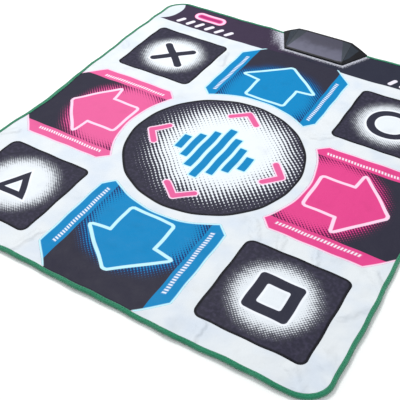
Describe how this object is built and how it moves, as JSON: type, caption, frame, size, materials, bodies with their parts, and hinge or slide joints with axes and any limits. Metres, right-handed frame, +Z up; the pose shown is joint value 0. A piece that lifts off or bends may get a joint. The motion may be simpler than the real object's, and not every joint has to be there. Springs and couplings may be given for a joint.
{
  "type": "dance mat controller",
  "caption": "Soft floor mat game controller: printed PVC cover with arrow and symbol zones to step on, select and start pills, sewn edge binding and a hard hipped control box at the back edge.",
  "frame": {"origin": "on the floor under the middle of the mat's outline", "axes": "+Z up; +Y towards the edge with the control box, the way the player faces; +X to the player's right"},
  "size_m": [0.832, 0.924, 0.0299],
  "materials": {
    "base_sheet": "matte",
    "foam": "matte",
    "film": "satin",
    "carbon": "matte",
    "printed_cover": "satin",
    "binding": "matte",
    "blue_panel": "satin",
    "pink_panel": "satin",
    "dark_panel": "satin",
    "pill_panel": "satin",
    "contact_pad": "matte",
    "box_plastic": "satin",
    "screw_steel": "satin",
    "board": "satin",
    "component": "satin",
    "crystal_can": "polished",
    "terminal": "satin",
    "bush_rubber": "matte"
  },
  "bodies": {
    "mat": {"base_cover": "base_sheet", "base_foam": "foam", "lower_membrane": "film", "lower_contact_pads": "carbon", "spacer_foam": "foam", "upper_membrane": "film", "top_cover": "printed_cover", "edge_binding": "binding", "control_box_top": "box_plastic", "clamp_plate": "box_plastic", "box_screws": "screw_steel", "circuit_board": "board", "board_screws": "screw_steel", "controller_chip": "component", "crystal": "crystal_can", "capacitor": "component", "cable_terminal": "terminal", "membrane_tail": "film", "tail_clamp_bar": "box_plastic", "tail_clamp_screws": "screw_steel", "cable_bush": "bush_rubber"},
    "up_arrow_button": {"up_arrow_panel": "blue_panel", "up_arrow_contact": "contact_pad"},
    "left_arrow_button": {"left_arrow_panel": "pink_panel", "left_arrow_contact": "contact_pad"},
    "down_arrow_button": {"down_arrow_panel": "blue_panel", "down_arrow_contact": "contact_pad"},
    "right_arrow_button": {"right_arrow_panel": "pink_panel", "right_arrow_contact": "contact_pad"},
    "cross_button": {"cross_panel": "dark_panel", "cross_contact": "contact_pad"},
    "ring_button": {"ring_panel": "dark_panel", "ring_contact": "contact_pad"},
    "triangle_button": {"triangle_panel": "dark_panel", "triangle_contact": "contact_pad"},
    "square_button": {"square_panel": "dark_panel", "square_contact": "contact_pad"},
    "select_button": {"select_panel": "pill_panel", "select_contact": "contact_pad"},
    "start_button": {"start_panel": "pill_panel", "start_contact": "contact_pad"}
  },
  "joints": [
    {"name": "up_arrow_press", "type": "slide", "parent": "mat", "child": "up_arrow_button", "axis": [0, 0, -1], "range_m": [0, 0.0015], "stiffness_N_per_m": 8000},
    {"name": "left_arrow_press", "type": "slide", "parent": "mat", "child": "left_arrow_button", "axis": [0, 0, -1], "range_m": [0, 0.0015], "stiffness_N_per_m": 8000},
    {"name": "down_arrow_press", "type": "slide", "parent": "mat", "child": "down_arrow_button", "axis": [0, 0, -1], "range_m": [0, 0.0015], "stiffness_N_per_m": 8000},
    {"name": "right_arrow_press", "type": "slide", "parent": "mat", "child": "right_arrow_button", "axis": [0, 0, -1], "range_m": [0, 0.0015], "stiffness_N_per_m": 8000},
    {"name": "cross_press", "type": "slide", "parent": "mat", "child": "cross_button", "axis": [0, 0, -1], "range_m": [0, 0.0015], "stiffness_N_per_m": 8000},
    {"name": "ring_press", "type": "slide", "parent": "mat", "child": "ring_button", "axis": [0, 0, -1], "range_m": [0, 0.0015], "stiffness_N_per_m": 8000},
    {"name": "triangle_press", "type": "slide", "parent": "mat", "child": "triangle_button", "axis": [0, 0, -1], "range_m": [0, 0.0015], "stiffness_N_per_m": 8000},
    {"name": "square_press", "type": "slide", "parent": "mat", "child": "square_button", "axis": [0, 0, -1], "range_m": [0, 0.0015], "stiffness_N_per_m": 8000},
    {"name": "select_press", "type": "slide", "parent": "mat", "child": "select_button", "axis": [0, 0, -1], "range_m": [0, 0.0015], "stiffness_N_per_m": 3000},
    {"name": "start_press", "type": "slide", "parent": "mat", "child": "start_button", "axis": [0, 0, -1], "range_m": [0, 0.0015], "stiffness_N_per_m": 3000}
  ]
}
